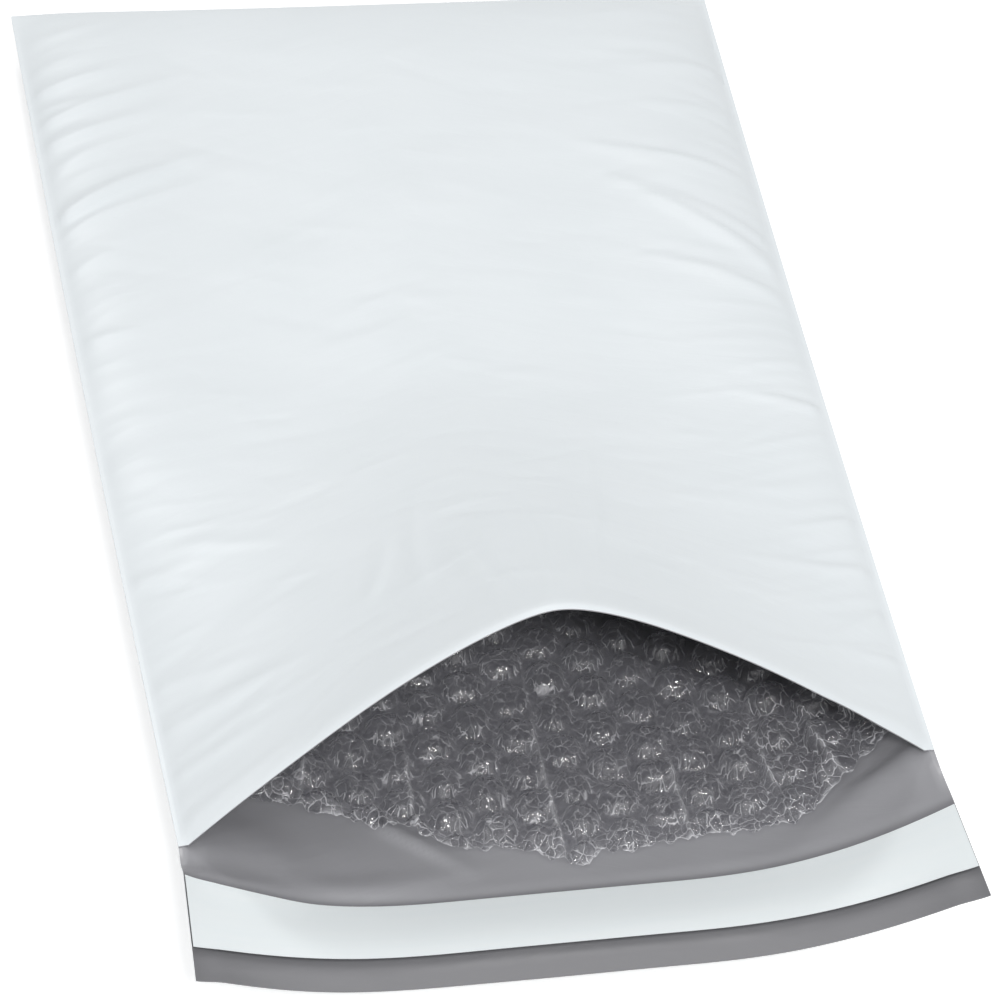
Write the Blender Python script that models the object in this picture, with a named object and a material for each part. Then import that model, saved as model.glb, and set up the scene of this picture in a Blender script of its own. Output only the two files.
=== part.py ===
"""Padded poly envelope, lying on its back with the mouth held open.

One sheet of film is folded at the closed end, sealed along both sides and left
long at the back to make the flap. A folded web of bubble film lines it with its
bubbles facing in. A band of glue on the flap waits under a release liner.
Metres, +Z up, the mouth towards -Y, the back panel lying on z = 0.
"""
import math

import bmesh
import bpy
from mathutils import Vector
from mathutils.geometry import delaunay_2d_cdt

# Envelope, measured flat
WIDTH = 0.184
LENGTH = 0.305
FLAP = 0.0435
SIDE_SEAL = 0.003
END_FOLD = 0.004
FILM = 0.0003
# Closed envelope: how thick the padding holds it, and how far it rounds off
PADDING = 0.0106
PAD_SHAPE = 8
FOLD_OPENING = 0.0012
PAD_ROUNDING = 0.030

# Bubble film
BUBBLE_PITCH = 0.0121
BUBBLE_HEIGHT = 0.0041
CROWN_SHARE = 0.62
CROWN_RISE = 0.0009
WEB = 0.0004
WEB_MARGIN = 0.0031
WEB_TURN = 0.0075
ROUND_ROWS = 4
FIRST_COLUMN_X = 0.0086
FIRST_BUBBLE_Y = 0.0062

# Flap closure
STRIP_AT = 0.0155
LINER_WIDTH = 0.0195
LINER_THICK = 0.0002
LINER_INSET = 0.0003
GLUE_WIDTH = 0.014
GLUE_THICK = 0.0002
GLUE_INSET = 0.003

# Clearances
GAP = 0.0003
WEB_GAP = 0.0005
BUBBLE_GAP = 0.0003

# The mouth as it is held open
MOUTH_REACH = 0.150
MOUTH_CURVE = 1.3
DRAW_IN = 0.01075
SWAY = 0.0008
FLAP_FLARE = 0.0009
LIP_RISE = 0.0386
LIP_SETBACK = 0.0154
LIP_PEAK = 1.296
LIP_ROUND = 0.067
MOUTH_SLANT = 0.0020
BACK_BOW = 0.0113
BOW_CURVE = 4.26
BOW_SHAPE = 4.36
FLAT_SHARE = 0.25
TROUGH_CURVE = 2.79

# Height of each side at the closed end, mouth, strip and flap end: on the body at the
# seal's inner line, from which the seal droops to its edge at the mouth
LEFT_SIDE = (0.0108, 0.0218, 0.0255, 0.0248)
RIGHT_SIDE = (0.0018, 0.0265, 0.0258, 0.0281)
SEAL_DROOP = 0.0020
FLAP_LIFT = 0.0040
FLAP_DROOP = 0.0020

# Where the cut edge of the bubble film lies, from the mouth inwards. It slants on the
# left of the back panel, curves away at the corners and is a little frayed.
CUT_BACK = -0.0042
CUT_FRONT = 0.0100
CUT_SLANT = 0.0300
CUT_CORNER = 0.0130
FRONT_CORNER = 0.0039
CORNER_FROM = 0.7
FRAY = 0.0015
FRAY_TURN = 2.1

HALF = WIDTH / 2
SEAL_U = 1 - SIDE_SEAL / HALF
Y_MOUTH = -(LENGTH - FLAP) / 2
COLUMN_STEP = BUBBLE_PITCH * math.sqrt(3) / 2


def clamp(x, low=0.0, high=1.0):
    return max(low, min(high, x))


def ease(x):
    x = clamp(x)
    return x * x * (3 - 2 * x)


def mix(a, b, k):
    return a + (b - a) * k


# The sheet is addressed by u, from -1 at the left edge to 1 at the right, and v,
# the distance in from the mouth along the sheet, negative on the flap.

def side_height(u, v):
    closed, mouth, strip, end = LEFT_SIDE if u < 0 else RIGHT_SIDE
    if v >= 0:
        return mix(mouth, closed, v / LENGTH)
    if -v < STRIP_AT:
        return mix(mouth - SEAL_DROOP, strip, ease(-v / STRIP_AT))
    return mix(strip, end, (-v - STRIP_AT) / (FLAP - STRIP_AT))


def half_width(v):
    if v >= 0:
        return HALF - DRAW_IN * (1 - v / LENGTH)
    return HALF - DRAW_IN - FLAP_FLARE * v / FLAP


def place_across(u, v):
    k = clamp(v / LENGTH)
    return u * half_width(v) - SWAY * 4 * k * (1 - k)


def across(u):
    return min(abs(u) / SEAL_U, 1.0)


def flap_crown(v):
    far = STRIP_AT + LINER_WIDTH
    near = STRIP_AT / 2
    if -v < far:
        return FLAP_LIFT * ease((-v - near) / (far - near))
    return FLAP_LIFT - FLAP_DROOP * clamp((-v - far) / (FLAP - far))


def slant(u, v):
    reach = MOUTH_REACH if v >= 0 else STRIP_AT
    return MOUTH_SLANT * u * clamp(1 - abs(v) / reach)


def into_fold(v):
    return clamp((v - (LENGTH - PAD_ROUNDING)) / PAD_ROUNDING)


def trough(share):
    return clamp((share - FLAT_SHARE) / (1 - FLAT_SHARE)) ** TROUGH_CURVE


def flap_height(u, v):
    return mix(flap_crown(v), side_height(u, v), trough(abs(u)))


def body_height(u, v):
    """A trough between the sides that comes up to the fold line at the closed end."""
    droop = SEAL_DROOP * clamp(1 - v / MOUTH_REACH) * clamp((abs(u) - SEAL_U) / (1 - SEAL_U))
    lying = side_height(u, v) * trough(across(u)) - droop
    fold_line = mix(side_height(-1, LENGTH), side_height(1, LENGTH), (u + 1) / 2)
    return mix(lying, fold_line, 1 - math.sqrt(1 - into_fold(v) ** 2))


def back_height(u, v):
    if v >= 0:
        return body_height(u, v)
    return mix(body_height(u, 0), flap_height(u, v), ease(-v / STRIP_AT))


def back_panel(u, v):
    """Inner face of the back panel."""
    bow = BACK_BOW * ((LENGTH - v) / (LENGTH + FLAP)) ** BOW_CURVE
    edge = mix(across(u), abs(u), ease(-v / STRIP_AT))
    y = v + bow * (1 - edge ** BOW_SHAPE) + slant(u, v)
    return Vector((place_across(u, v), Y_MOUTH + y, back_height(u, v) + FILM))


def lip_share(u):
    """How far the lip has come down from its rounded peak to the seal, from 0 to 1."""
    peak = LIP_ROUND ** LIP_PEAK
    here = math.hypot(across(u), LIP_ROUND) ** LIP_PEAK
    return (here - peak) / (math.hypot(1, LIP_ROUND) ** LIP_PEAK - peak)


def opening(u, v):
    """Height of the hollow between the two panels."""
    s = across(u)
    if s == 1:
        return 0.0
    pad = mix(FOLD_OPENING, PADDING, math.sqrt(1 - into_fold(v) ** 2)) * (1 - s ** PAD_SHAPE)
    left, right = body_height(-SEAL_U, v), body_height(SEAL_U, v)
    seams = mix(left, right, (math.copysign(s, u) + 1) / 2)
    tent = seams + LIP_RISE * (1 - lip_share(u)) - body_height(u, v)
    return mix(pad, tent, clamp(1 - v / MOUTH_REACH) ** MOUTH_CURVE)


def front_panel(u, v):
    """Inner face of the front panel."""
    k = clamp(1 - v / MOUTH_REACH)
    y = v + k * LIP_SETBACK * (1 - lip_share(u)) + slant(u, v)
    z = body_height(u, v) + FILM + opening(u, v)
    return Vector((place_across(u, v), Y_MOUTH + y, z))


def inward(panel, u, v):
    """Unit normal of a panel that points into the hollow."""
    step = 0.0005
    du = panel(u + step, v) - panel(u - step, v)
    dv = panel(u, v + step * HALF) - panel(u, v - step * HALF)
    normal = du.cross(dv).normalized()
    return normal if panel is back_panel else -normal


# Object helpers

SHARP_ANGLE = math.radians(50)


def plain_material(name, colour, roughness, alpha=1.0):
    material = bpy.data.materials.new(name)
    material.use_nodes = True
    shader = material.node_tree.nodes["Principled BSDF"]
    shader.inputs["Base Color"].default_value = (*colour, 1.0)
    shader.inputs["Roughness"].default_value = roughness
    shader.inputs["Metallic"].default_value = 0.0
    shader.inputs["Alpha"].default_value = alpha
    return material


def finish(name, bm, material):
    bmesh.ops.recalc_face_normals(bm, faces=bm.faces)
    mesh = bpy.data.meshes.new(name)
    bm.to_mesh(mesh)
    bm.free()
    mesh.shade_smooth()
    mesh.set_sharp_from_angle(angle=SHARP_ANGLE)
    obj = bpy.data.objects.new(name, mesh)
    obj.data.materials.append(material)
    bpy.context.scene.collection.objects.link(obj)
    return obj


def face_grid(bm, rows):
    """Quads between neighbouring rows of vertices, triangles where rows meet."""
    for low, high in zip(rows, rows[1:]):
        for i in range(len(low) - 1):
            bm.faces.new(dict.fromkeys((low[i], low[i + 1], high[i + 1], high[i])))


for old in list(bpy.data.objects):
    bpy.data.objects.remove(old, do_unlink=True)

# Outer film: back panel, flap and front panel as one folded and sealed sheet

half_columns = (0.05, 0.13, FLAT_SHARE, 0.38, 0.5, 0.62, 0.73, 0.83, 0.91)
inner_columns = [-SEAL_U] + [-u for u in reversed(half_columns)] + [0.0] + list(half_columns) + [SEAL_U]
columns = [-1.0] + inner_columns + [1.0]
flap_rows = [-FLAP, -(STRIP_AT + LINER_WIDTH), -(STRIP_AT + LINER_WIDTH / 2)]
flap_rows += [-STRIP_AT, -STRIP_AT * 2 / 3, -STRIP_AT / 3]
body_shares = (0.0, 0.05, 0.12, 0.22, 0.35, 0.52, 0.74, 1.0)
body_rows = [MOUTH_REACH * share for share in body_shares]
fold_start = LENGTH - PAD_ROUNDING
body_rows += [mix(MOUTH_REACH, fold_start, k) for k in (1 / 3, 2 / 3, 1)]
body_rows += [LENGTH - PAD_ROUNDING * 0.65, LENGTH - PAD_ROUNDING * 0.4, LENGTH - END_FOLD]

film = bmesh.new()
up = Vector((0, 0, FILM))
outer_back = [[film.verts.new(back_panel(u, v) - up) for u in columns] for v in flap_rows + body_rows + [LENGTH]]
flap_top = [[film.verts.new(back_panel(u, v)) for u in columns] for v in flap_rows]
outer_front = [[film.verts.new(front_panel(u, v) + up) for u in columns] for v in body_rows + [LENGTH]]
inner_back = [[film.verts.new(back_panel(u, v)) for u in inner_columns] for v in body_rows]
inner_front = []
for row, v in zip(inner_back, body_rows):
    crown = [film.verts.new(front_panel(u, v)) for u in inner_columns[1:-1]]
    inner_front.append([row[0]] + crown + [row[-1]])
mouth_row = [film.verts.new(back_panel(-1, 0))] + inner_back[0] + [film.verts.new(back_panel(1, 0))]

face_grid(film, outer_back)
face_grid(film, flap_top + [mouth_row])
face_grid(film, outer_front)
face_grid(film, inner_back)
face_grid(film, inner_front)
face_grid(film, [outer_back[0], flap_top[0]])
face_grid(film, [outer_back[-1], outer_front[-1]])
face_grid(film, [inner_back[-1], inner_front[-1]])
face_grid(film, [inner_front[0], outer_front[0][1:-1]])
flaps = len(flap_rows)
for edge, seal in ((0, 1), (-1, -2)):
    film.faces.new((mouth_row[edge], mouth_row[seal], outer_front[0][seal], outer_front[0][edge]))
    flap_side = [row[edge] for row in flap_top] + [mouth_row[edge]]
    face_grid(film, [[row[edge] for row in outer_back[:flaps + 1]], flap_side])
    low = [row[edge] for row in outer_back[flaps:]]
    high = [row[edge] for row in outer_front]
    film.faces.new((low[0], low[1], high[1], high[0], mouth_row[edge]))
    face_grid(film, [low[1:], high[1:]])
bmesh.ops.triangulate(film, faces=film.faces)
finish("outer_film", film, plain_material("white_film", (0.80, 0.84, 0.87), 0.42))

# Bubble lining: one web folded at the closed end, with domes in a hexagonal pattern

web_half = HALF - SIDE_SEAL - WEB_MARGIN
turn_v = LENGTH - WEB_TURN
# A bubble is kept where the web goes on for these shares of the spacing past its middle
least_column = 0.25
least_row = 0.3


def cut_edge(panel, u):
    """Distance of the web's cut edge from the mouth."""
    corner = clamp((abs(u) - CORNER_FROM) / (web_half / HALF - CORNER_FROM)) ** 2
    if panel is front_panel:
        return CUT_FRONT + FRONT_CORNER * corner
    if u < 0:
        return CUT_BACK - CUT_SLANT * u
    return CUT_BACK + CUT_CORNER * corner


def web_point(panel, x, v, lift):
    u = x / HALF
    return panel(u, v) + inward(panel, u, v) * (WEB_GAP + lift)


def dome_height(x, v):
    """Bubbles are as tall as the hollow leaves room for on each side."""
    room = opening(x / HALF, v) / 2 - WEB_GAP - WEB - BUBBLE_GAP
    return clamp(room, 0.0, BUBBLE_HEIGHT)


def bubble_cells(panel):
    """Row number and corner keys of each cell that the web keeps."""
    first = math.ceil((-web_half - FIRST_COLUMN_X) / COLUMN_STEP + least_column)
    last = math.floor((web_half - FIRST_COLUMN_X) / COLUMN_STEP - least_column)
    first_row = math.floor((CUT_BACK - FIRST_BUBBLE_Y) / BUBBLE_PITCH)
    last_row = math.floor((turn_v - FIRST_BUBBLE_Y) / BUBBLE_PITCH)
    cells = []
    for c in range(first, last + 1):
        x = FIRST_COLUMN_X + c * COLUMN_STEP
        stagger = c % 2
        for r in range(first_row, last_row + 1):
            level = 2 * r + stagger
            v = FIRST_BUBBLE_Y + level * BUBBLE_PITCH / 2
            if v < cut_edge(panel, x / HALF) + BUBBLE_PITCH * least_row:
                continue
            if v > turn_v - BUBBLE_PITCH / 2:
                continue
            k = 3 * c
            keys = [(k - 2, level), (k - 1, level - 1), (k + 1, level - 1),
                    (k + 2, level), (k + 1, level + 1), (k - 1, level + 1)]
            cells.append((level, keys))
    top = max(level for level, _ in cells)
    # flat pieces that fill the row of notches next to the fold
    fill = []
    for c in range(first, last + 1):
        if (top - c) % 2 == 0:
            continue
        k = 3 * c
        keys = [(k - 1, top), (k + 1, top), (k + 2, top + 1), (k - 2, top + 1)]
        fill.append(keys)
    return cells, fill, top + 1, (3 * first - 1, 3 * last + 1)


def key_place(panel, key, side_keys, last_level):
    """Flat position of a cell corner, drawn to the web's edges where it ends."""
    x = FIRST_COLUMN_X + key[0] * COLUMN_STEP / 3
    if key[0] <= side_keys[0]:
        x = -web_half
    if key[0] >= side_keys[1]:
        x = web_half
    v = FIRST_BUBBLE_Y + key[1] * BUBBLE_PITCH / 2
    if key[1] == last_level:
        v = turn_v
    near = cut_edge(panel, x / HALF) + FRAY * math.sin(FRAY_TURN * key[0])
    return x, max(v, near)


def add_panel(bm, panel):
    """Inner face with its bubbles, outer face, and the row next to the fold."""
    cells, fill, last_level, side_keys = bubble_cells(panel)
    places = {}
    inner = {}
    vert_keys = {}

    def corner(key):
        if key not in inner:
            places[key] = key_place(panel, key, side_keys, last_level)
            inner[key] = bm.verts.new(web_point(panel, *places[key], WEB))
            vert_keys[inner[key]] = key
        return inner[key]

    def cell_face(keys):
        verts = [corner(key) for key in keys]
        if panel is front_panel:
            verts.reverse()
        face = bm.faces.new(verts)
        face.normal_update()
        return face

    def raise_bubble(face, keys, level):
        """A round dome near the mouth, and a plain cone deeper in."""
        x = sum(places[key][0] for key in keys) / len(keys)
        v = sum(places[key][1] for key in keys) / len(keys)
        height = dome_height(x, v)
        if level <= round_limit and height > 2 * CROWN_RISE:
            rim = [places[vert_keys[vert]] for vert in face.verts]
            bmesh.ops.inset_individual(bm, faces=[face], thickness=(1 - CROWN_SHARE) * COLUMN_STEP / 2)
            for vert, (rim_x, rim_v) in zip(face.verts, rim):
                spot = (mix(x, rim_x, CROWN_SHARE), mix(v, rim_v, CROWN_SHARE))
                lift = min(height - CROWN_RISE, dome_height(*spot))
                vert.co = web_point(panel, *spot, WEB + lift)
        cone = bmesh.ops.poke(bm, faces=[face])
        cone["verts"][0].co = web_point(panel, x, v, WEB + height)

    round_limit = min(level for level, _ in cells) + 2 * ROUND_ROWS
    for level, keys in cells:
        raise_bubble(cell_face(keys), keys, level)
    for keys in fill:
        cell_face(keys)

    pairs = {}
    faces = [keys for _, keys in cells] + fill
    for keys in faces:
        for a, b in zip(keys, keys[1:] + keys[:1]):
            pairs[frozenset((a, b))] = pairs.get(frozenset((a, b)), 0) + 1
    rim = [tuple(pair) for pair, uses in pairs.items() if uses == 1]
    rim_keys = sorted({key for pair in rim for key in pair})
    number = {key: i for i, key in enumerate(rim_keys)}
    # drawn short along the envelope, so that its longer faces run that way
    squeeze = 0.4
    side_margin = 0.002
    cut_margin = 0.006
    fold_margin = 0.004
    flat = [Vector((places[key][0], places[key][1] * squeeze)) for key in rim_keys]
    deep_rows = [mix(MOUTH_REACH, fold_start, k) for k in (1 / 6, 1 / 2, 5 / 6)]
    for v in body_rows + deep_rows:
        for u in inner_columns:
            if MOUTH_REACH < v < fold_start and abs(u) == half_columns[0]:
                continue
            between = cut_edge(panel, u) + cut_margin < v < turn_v - fold_margin
            if between and abs(u) * HALF < web_half - side_margin:
                flat.append(Vector((u * HALF, v * squeeze)))
    edges = [(number[a], number[b]) for a, b in rim]
    points, _, triangles, origins, _, _ = delaunay_2d_cdt(flat, edges, [], 1, 1e-7)
    outer = [bm.verts.new(web_point(panel, point.x, point.y / squeeze, 0.0)) for point in points]
    for triangle in triangles:
        bm.faces.new([outer[i] for i in triangle])
    outer_rim = {}
    for vert, source in zip(outer, origins):
        for i in source:
            if i < len(rim_keys):
                outer_rim[rim_keys[i]] = vert
    fold_keys = [key for key in rim_keys if key[1] == last_level]
    for a, b in rim:
        if a in fold_keys and b in fold_keys:
            continue
        bm.faces.new((inner[a], inner[b], outer_rim[b], outer_rim[a]))
    fold_keys.sort(key=lambda key: places[key][0])
    return [(inner[key], outer_rim[key]) for key in fold_keys]


def add_turn(bm, back_row, front_row, steps=4):
    """Round the web over from the back panel to the front one, in a flattened bend."""
    flatness = 0.5
    slack = 0.0008
    rows = [back_row]
    for i in range(1, steps):
        angle = math.pi * i / steps
        row = []
        for (back_in, back_out), (front_in, front_out) in zip(back_row, front_row):
            pair = []
            for low, high, reach in ((back_in, front_in, 0.0), (back_out, front_out, WEB)):
                middle = (low.co + high.co) / 2
                half = (high.co - low.co).length / 2
                out = Vector((0, flatness * half + slack + reach, 0))
                spot = middle + (low.co - middle) * math.cos(angle) + out * math.sin(angle)
                pair.append(bm.verts.new(spot))
            row.append(pair)
        rows.append(row)
    rows.append(front_row)
    for face in (0, 1):
        face_grid(bm, [[pair[face] for pair in row] for row in rows])
    for end in (0, -1):
        face_grid(bm, [[row[end][0] for row in rows], [row[end][1] for row in rows]])


lining = bmesh.new()
back_row = add_panel(lining, back_panel)
front_row = add_panel(lining, front_panel)
add_turn(lining, back_row, front_row)
finish("bubble_lining", lining, plain_material("clear_bubble_film", (0.80, 0.80, 0.82), 0.15, 0.35))

# Glue band and the release liner over it, both following the flap


def flap_band(name, near, width, inset, low, thick, material):
    bm = bmesh.new()
    reach = 1 - inset / HALF
    band_columns = sorted({clamp(u, -reach, reach) for u in columns})
    rows = [-(near + width), -(near + width / 2), -near]

    def row(v, lift):
        return [bm.verts.new(back_panel(u, v) + inward(back_panel, u, v) * lift) for u in band_columns]

    bottom = [row(v, low) for v in rows]
    top = [row(v, low + thick) for v in rows]
    face_grid(bm, bottom)
    face_grid(bm, top)
    for end in (0, -1):
        face_grid(bm, [bottom[end], top[end]])
        face_grid(bm, [[r[end] for r in bottom], [r[end] for r in top]])
    bmesh.ops.triangulate(bm, faces=bm.faces)
    return finish(name, bm, material)


glue_near = STRIP_AT + (LINER_WIDTH - GLUE_WIDTH) / 2
glue = plain_material("hot_melt_glue", (0.85, 0.83, 0.72), 0.3)
flap_band("adhesive_strip", glue_near, GLUE_WIDTH, GLUE_INSET, GAP, GLUE_THICK, glue)
paper = plain_material("release_liner_film", (0.79, 0.86, 0.88), 0.45)
flap_band("release_liner", STRIP_AT, LINER_WIDTH, LINER_INSET, GAP + GLUE_THICK + GAP, LINER_THICK, paper)
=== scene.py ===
import math

import bmesh
import bpy
import numpy as np
from mathutils import Matrix, Vector


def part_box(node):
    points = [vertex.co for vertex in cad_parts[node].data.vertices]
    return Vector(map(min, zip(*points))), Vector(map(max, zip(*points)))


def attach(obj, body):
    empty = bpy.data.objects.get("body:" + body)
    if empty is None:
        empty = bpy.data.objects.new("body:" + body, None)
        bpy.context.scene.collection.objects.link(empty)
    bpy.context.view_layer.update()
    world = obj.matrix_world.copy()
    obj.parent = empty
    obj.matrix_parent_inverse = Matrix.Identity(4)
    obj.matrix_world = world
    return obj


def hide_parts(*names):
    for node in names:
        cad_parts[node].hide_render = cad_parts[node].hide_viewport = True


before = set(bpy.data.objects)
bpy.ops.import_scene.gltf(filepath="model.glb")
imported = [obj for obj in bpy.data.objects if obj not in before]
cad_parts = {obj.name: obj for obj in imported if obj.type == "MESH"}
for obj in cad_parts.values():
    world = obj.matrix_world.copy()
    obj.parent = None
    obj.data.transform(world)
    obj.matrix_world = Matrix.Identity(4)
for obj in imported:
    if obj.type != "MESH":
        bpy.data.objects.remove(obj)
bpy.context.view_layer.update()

# Outer film
# One sheet of co-extruded polyethylene, white outside and grey inside. It is folded at
# the closed end, heat-sealed down both sides and left long at the back as the flap.

MM = 0.001
film_low, film_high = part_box("outer_film")
FLAP = 43.5 * MM
WIDTH = film_high.x - film_low.x
LENGTH = film_high.y - film_low.y - FLAP
HALF = WIDTH / 2
Y_MOUTH = film_low.y + FLAP
# Drawn thicker than the real film, about 0.08 mm, so that its two sides stay apart
FILM = 0.3 * MM
SIDE_SEAL = 1.2 * MM
SEAL_U = 1 - SIDE_SEAL / HALF
END_FOLD = 4 * MM

# How thick the padding holds the closed envelope, and how far it rounds off
PADDING = 10.9 * MM
PAD_SHAPE = 8
PAD_ROUNDING = 30 * MM
FOLD_OPENING = 0.5 * MM

# The mouth as it is held open
MOUTH_REACH = 150 * MM
MOUTH_CURVE = 1.3
TENT_EASE = 0.16
DRAW_IN = 10.75 * MM
SWAY = 0.8 * MM
FLAP_FLARE = 0.9 * MM
LIP_RISE = 41.3 * MM
LIP_SETBACK = 15.4 * MM
LIP_PEAK = 1.34
LIP_ROUND = 0.067
LIP_CURL = 0.9 * MM
CURL_REACH = 4.5 * MM
MOUTH_SLANT = 2.0 * MM
BACK_BOW = 11.3 * MM
BOW_CURVE = 4.26
BOW_SHAPE = 4.36
FLAT_SHARE = 0.25
TROUGH_CURVE = 2.79
# Height of each side at the closed end, mouth, strip and flap end
LEFT_SIDE = (10.8 * MM, 19.8 * MM, 25.5 * MM, 24.8 * MM)
RIGHT_SIDE = (1.8 * MM, 24.5 * MM, 25.8 * MM, 28.1 * MM)
STRIP_AT = 15.5 * MM
LINER_WIDTH = 19.5 * MM
FLAP_LIFT = 4.0 * MM
FLAP_DROOP = 2.0 * MM


def clamp(x):
    return np.clip(x, 0.0, 1.0)


def ease(x):
    x = clamp(x)
    return x * x * (3 - 2 * x)


def mix(a, b, k):
    return a + (b - a) * k


# A point of the sheet is given by u, from -1 at the left edge to 1 at the right, and
# v, its distance in from the mouth along the sheet, negative on the flap.

def side_height(u, v):
    closed, mouth, strip, end = (np.where(u < 0, a, b) for a, b in zip(LEFT_SIDE, RIGHT_SIDE))
    body = mix(mouth, closed, v / LENGTH)
    near = mix(mouth, strip, ease(-v / STRIP_AT))
    far = mix(strip, end, (-v - STRIP_AT) / (FLAP - STRIP_AT))
    return np.where(v >= 0, body, np.where(-v < STRIP_AT, near, far))


def place_across(u, v):
    k = clamp(v / LENGTH)
    half = HALF - DRAW_IN * (1 - k) + FLAP_FLARE * clamp(-v / FLAP)
    return u * half - SWAY * 4 * k * (1 - k)


def across(u):
    return np.minimum(np.abs(u) / SEAL_U, 1.0)


def flap_crown(v):
    far = STRIP_AT + LINER_WIDTH
    near = STRIP_AT / 2
    rising = FLAP_LIFT * ease((-v - near) / (far - near))
    falling = FLAP_LIFT - FLAP_DROOP * clamp((-v - far) / (FLAP - far))
    return np.where(-v < far, rising, falling)


def slant(u, v):
    reach = np.where(v >= 0, MOUTH_REACH, STRIP_AT)
    return MOUTH_SLANT * u * clamp(1 - np.abs(v) / reach)


def pad_end(v):
    """1 on the padded body, down to 0 in a quarter round at the closed end."""
    return np.sqrt(1 - clamp((v - (LENGTH - PAD_ROUNDING)) / PAD_ROUNDING) ** 2)


def trough(share):
    return clamp((share - FLAT_SHARE) / (1 - FLAT_SHARE)) ** TROUGH_CURVE


def body_height(u, v):
    """A trough between the sides that comes up to the fold line at the closed end."""
    lying = side_height(u, v) * trough(across(u))
    fold_line = mix(LEFT_SIDE[0], RIGHT_SIDE[0], (u + 1) / 2)
    return mix(fold_line, lying, pad_end(v))


def back_height(u, v):
    flap = mix(flap_crown(v), side_height(u, v), trough(np.abs(u)))
    return mix(body_height(u, np.maximum(v, 0)), flap, ease(-v / STRIP_AT))


def lip_share(u):
    """How far the lip has come down from its rounded peak to the seal, from 0 to 1."""
    peak = LIP_ROUND ** LIP_PEAK
    here = np.hypot(across(u), LIP_ROUND) ** LIP_PEAK
    return (here - peak) / (math.hypot(1, LIP_ROUND) ** LIP_PEAK - peak)


def opening(u, v):
    """Height of the hollow between the two panels."""
    v = np.maximum(v, 0)
    s = across(u)
    pad = mix(FOLD_OPENING, PADDING, pad_end(v)) * (1 - s ** PAD_SHAPE)
    seams = mix(body_height(-SEAL_U, v), body_height(SEAL_U, v), (np.copysign(s, u) + 1) / 2)
    tent = seams + LIP_RISE * (1 - lip_share(u)) - body_height(u, v)
    reach = 1 - v / MOUTH_REACH
    reach = clamp((reach + np.sqrt(reach ** 2 + TENT_EASE ** 2)) / 2)
    return np.where(s < 1, mix(pad, tent, reach ** MOUTH_CURVE), 0.0)


def crease(x, v, start, end, height, width, bend=0.0):
    """A soft crease that starts high and runs out, given in mm on the flat sheet."""
    run_x, run_v = (end[0] - start[0]) * MM, (end[1] - start[1]) * MM
    length = math.hypot(run_x, run_v)
    dx, dv = x - start[0] * MM, v - start[1] * MM
    along = (dx * run_x + dv * run_v) / length ** 2
    off = (dv * run_x - dx * run_v) / length - bend * MM * 4 * along * (1 - along)
    taper = ease((along + 0.15) / 0.3) * ease((1 - along) / 0.7)
    spread = np.where(off > 0, 1.5, 0.8) * width * MM
    return height * MM * taper * np.exp(-((off / spread) ** 2))


# Creases of the front panel that show from a step away: start at the side seam and end
# in mm from the middle and from the mouth, height and width in mm, bend in mm
FRONT_CREASES = (
    ((-93, 213), (-42, 246), 1.60, 2.0, 0.0),
    ((-92, 206), (-38, 236), 0.85, 1.5, 1.0),
    ((-94, 252), (-48, 276), 1.20, 1.7, -1.0),
    ((-93, 260), (-70, 265), 0.70, 1.5, -1.0),
    ((-93, 243), (-48, 266), 1.05, 2.0, -1.5),
    ((-93, 266), (-58, 281), 0.95, 1.5, -1.0),
    ((-92, 229), (-60, 251), 0.50, 2.2, 2.0),
    ((-93, 276), (-66, 285), 0.45, 1.5, -1.0),
    ((-92, 289), (-66, 297), 0.40, 1.8, 0.0),
    ((-91, 191), (-66, 206), 0.50, 1.8, 1.0),
    ((-91, 166), (-70, 170), 0.45, 1.6, 0.0),
    ((91, 213), (38, 238), 0.75, 1.9, -3.0),
    ((91, 175), (41, 232), 0.85, 1.8, -3.0),
    ((90, 189), (48, 225), 0.60, 1.6, -2.0),
    ((91, 163), (40, 196), 0.65, 1.8, -4.0),
    ((90, 180), (68, 203), 0.50, 1.5, -2.0),
    ((92, 266), (56, 268), 0.75, 1.9, 1.0),
    ((92, 301), (56, 290), 0.50, 1.8, 0.0),
    ((92, 284), (64, 283), 0.40, 1.8, 0.0),
    ((91, 245), (58, 252), 0.50, 2.0, 0.0),
    ((92, 121), (64, 133), 0.80, 1.5, 0.0),
    ((91, 140), (68, 141), 0.45, 1.6, 0.0),
    ((92, 80), (66, 72), 0.60, 1.7, 0.0),
    ((92, 61), (58, 59), 0.70, 1.9, 1.5),
    ((92, 47), (64, 22), 0.60, 1.8, 0.0),
    ((92, 29), (72, 25), 0.50, 1.5, 0.0),
    ((-92, 47), (-58, 42), 0.55, 2.0, -1.5),
    ((-92, 33), (-48, 34), 0.60, 2.0, -1.5),
    ((-91, 19), (-58, 19), 0.50, 1.6, -1.0),
    ((-91, 5), (-54, 6), 0.45, 1.6, 0.0),
    ((-92, 83), (-66, 71), 0.50, 1.8, 0.0),
    ((-76, 88), (-46, 81), 0.40, 2.2, 0.0),
)
# Fan of faint pulls that meet at the lip's highest point
LIP_PULLS = (
    ((-9, 16), (-14, 78), 0.50, 1.8, 2.0),
    ((-4, 17), (-7, 100), 0.42, 1.8, 1.5),
    ((1, 13), (6, 112), 0.45, 1.8, -2.5),
    ((16, 30), (31, 138), 0.50, 1.7, -2.0),
    ((8, 16), (17, 96), 0.34, 2.0, -1.0),
    ((-24, 40), (-14, 102), 0.45, 1.8, 2.5),
    ((-37, 44), (-28, 80), 0.40, 1.8, -2.0),
    ((28, 34), (48, 104), 0.30, 2.2, 0.0),
)
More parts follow.
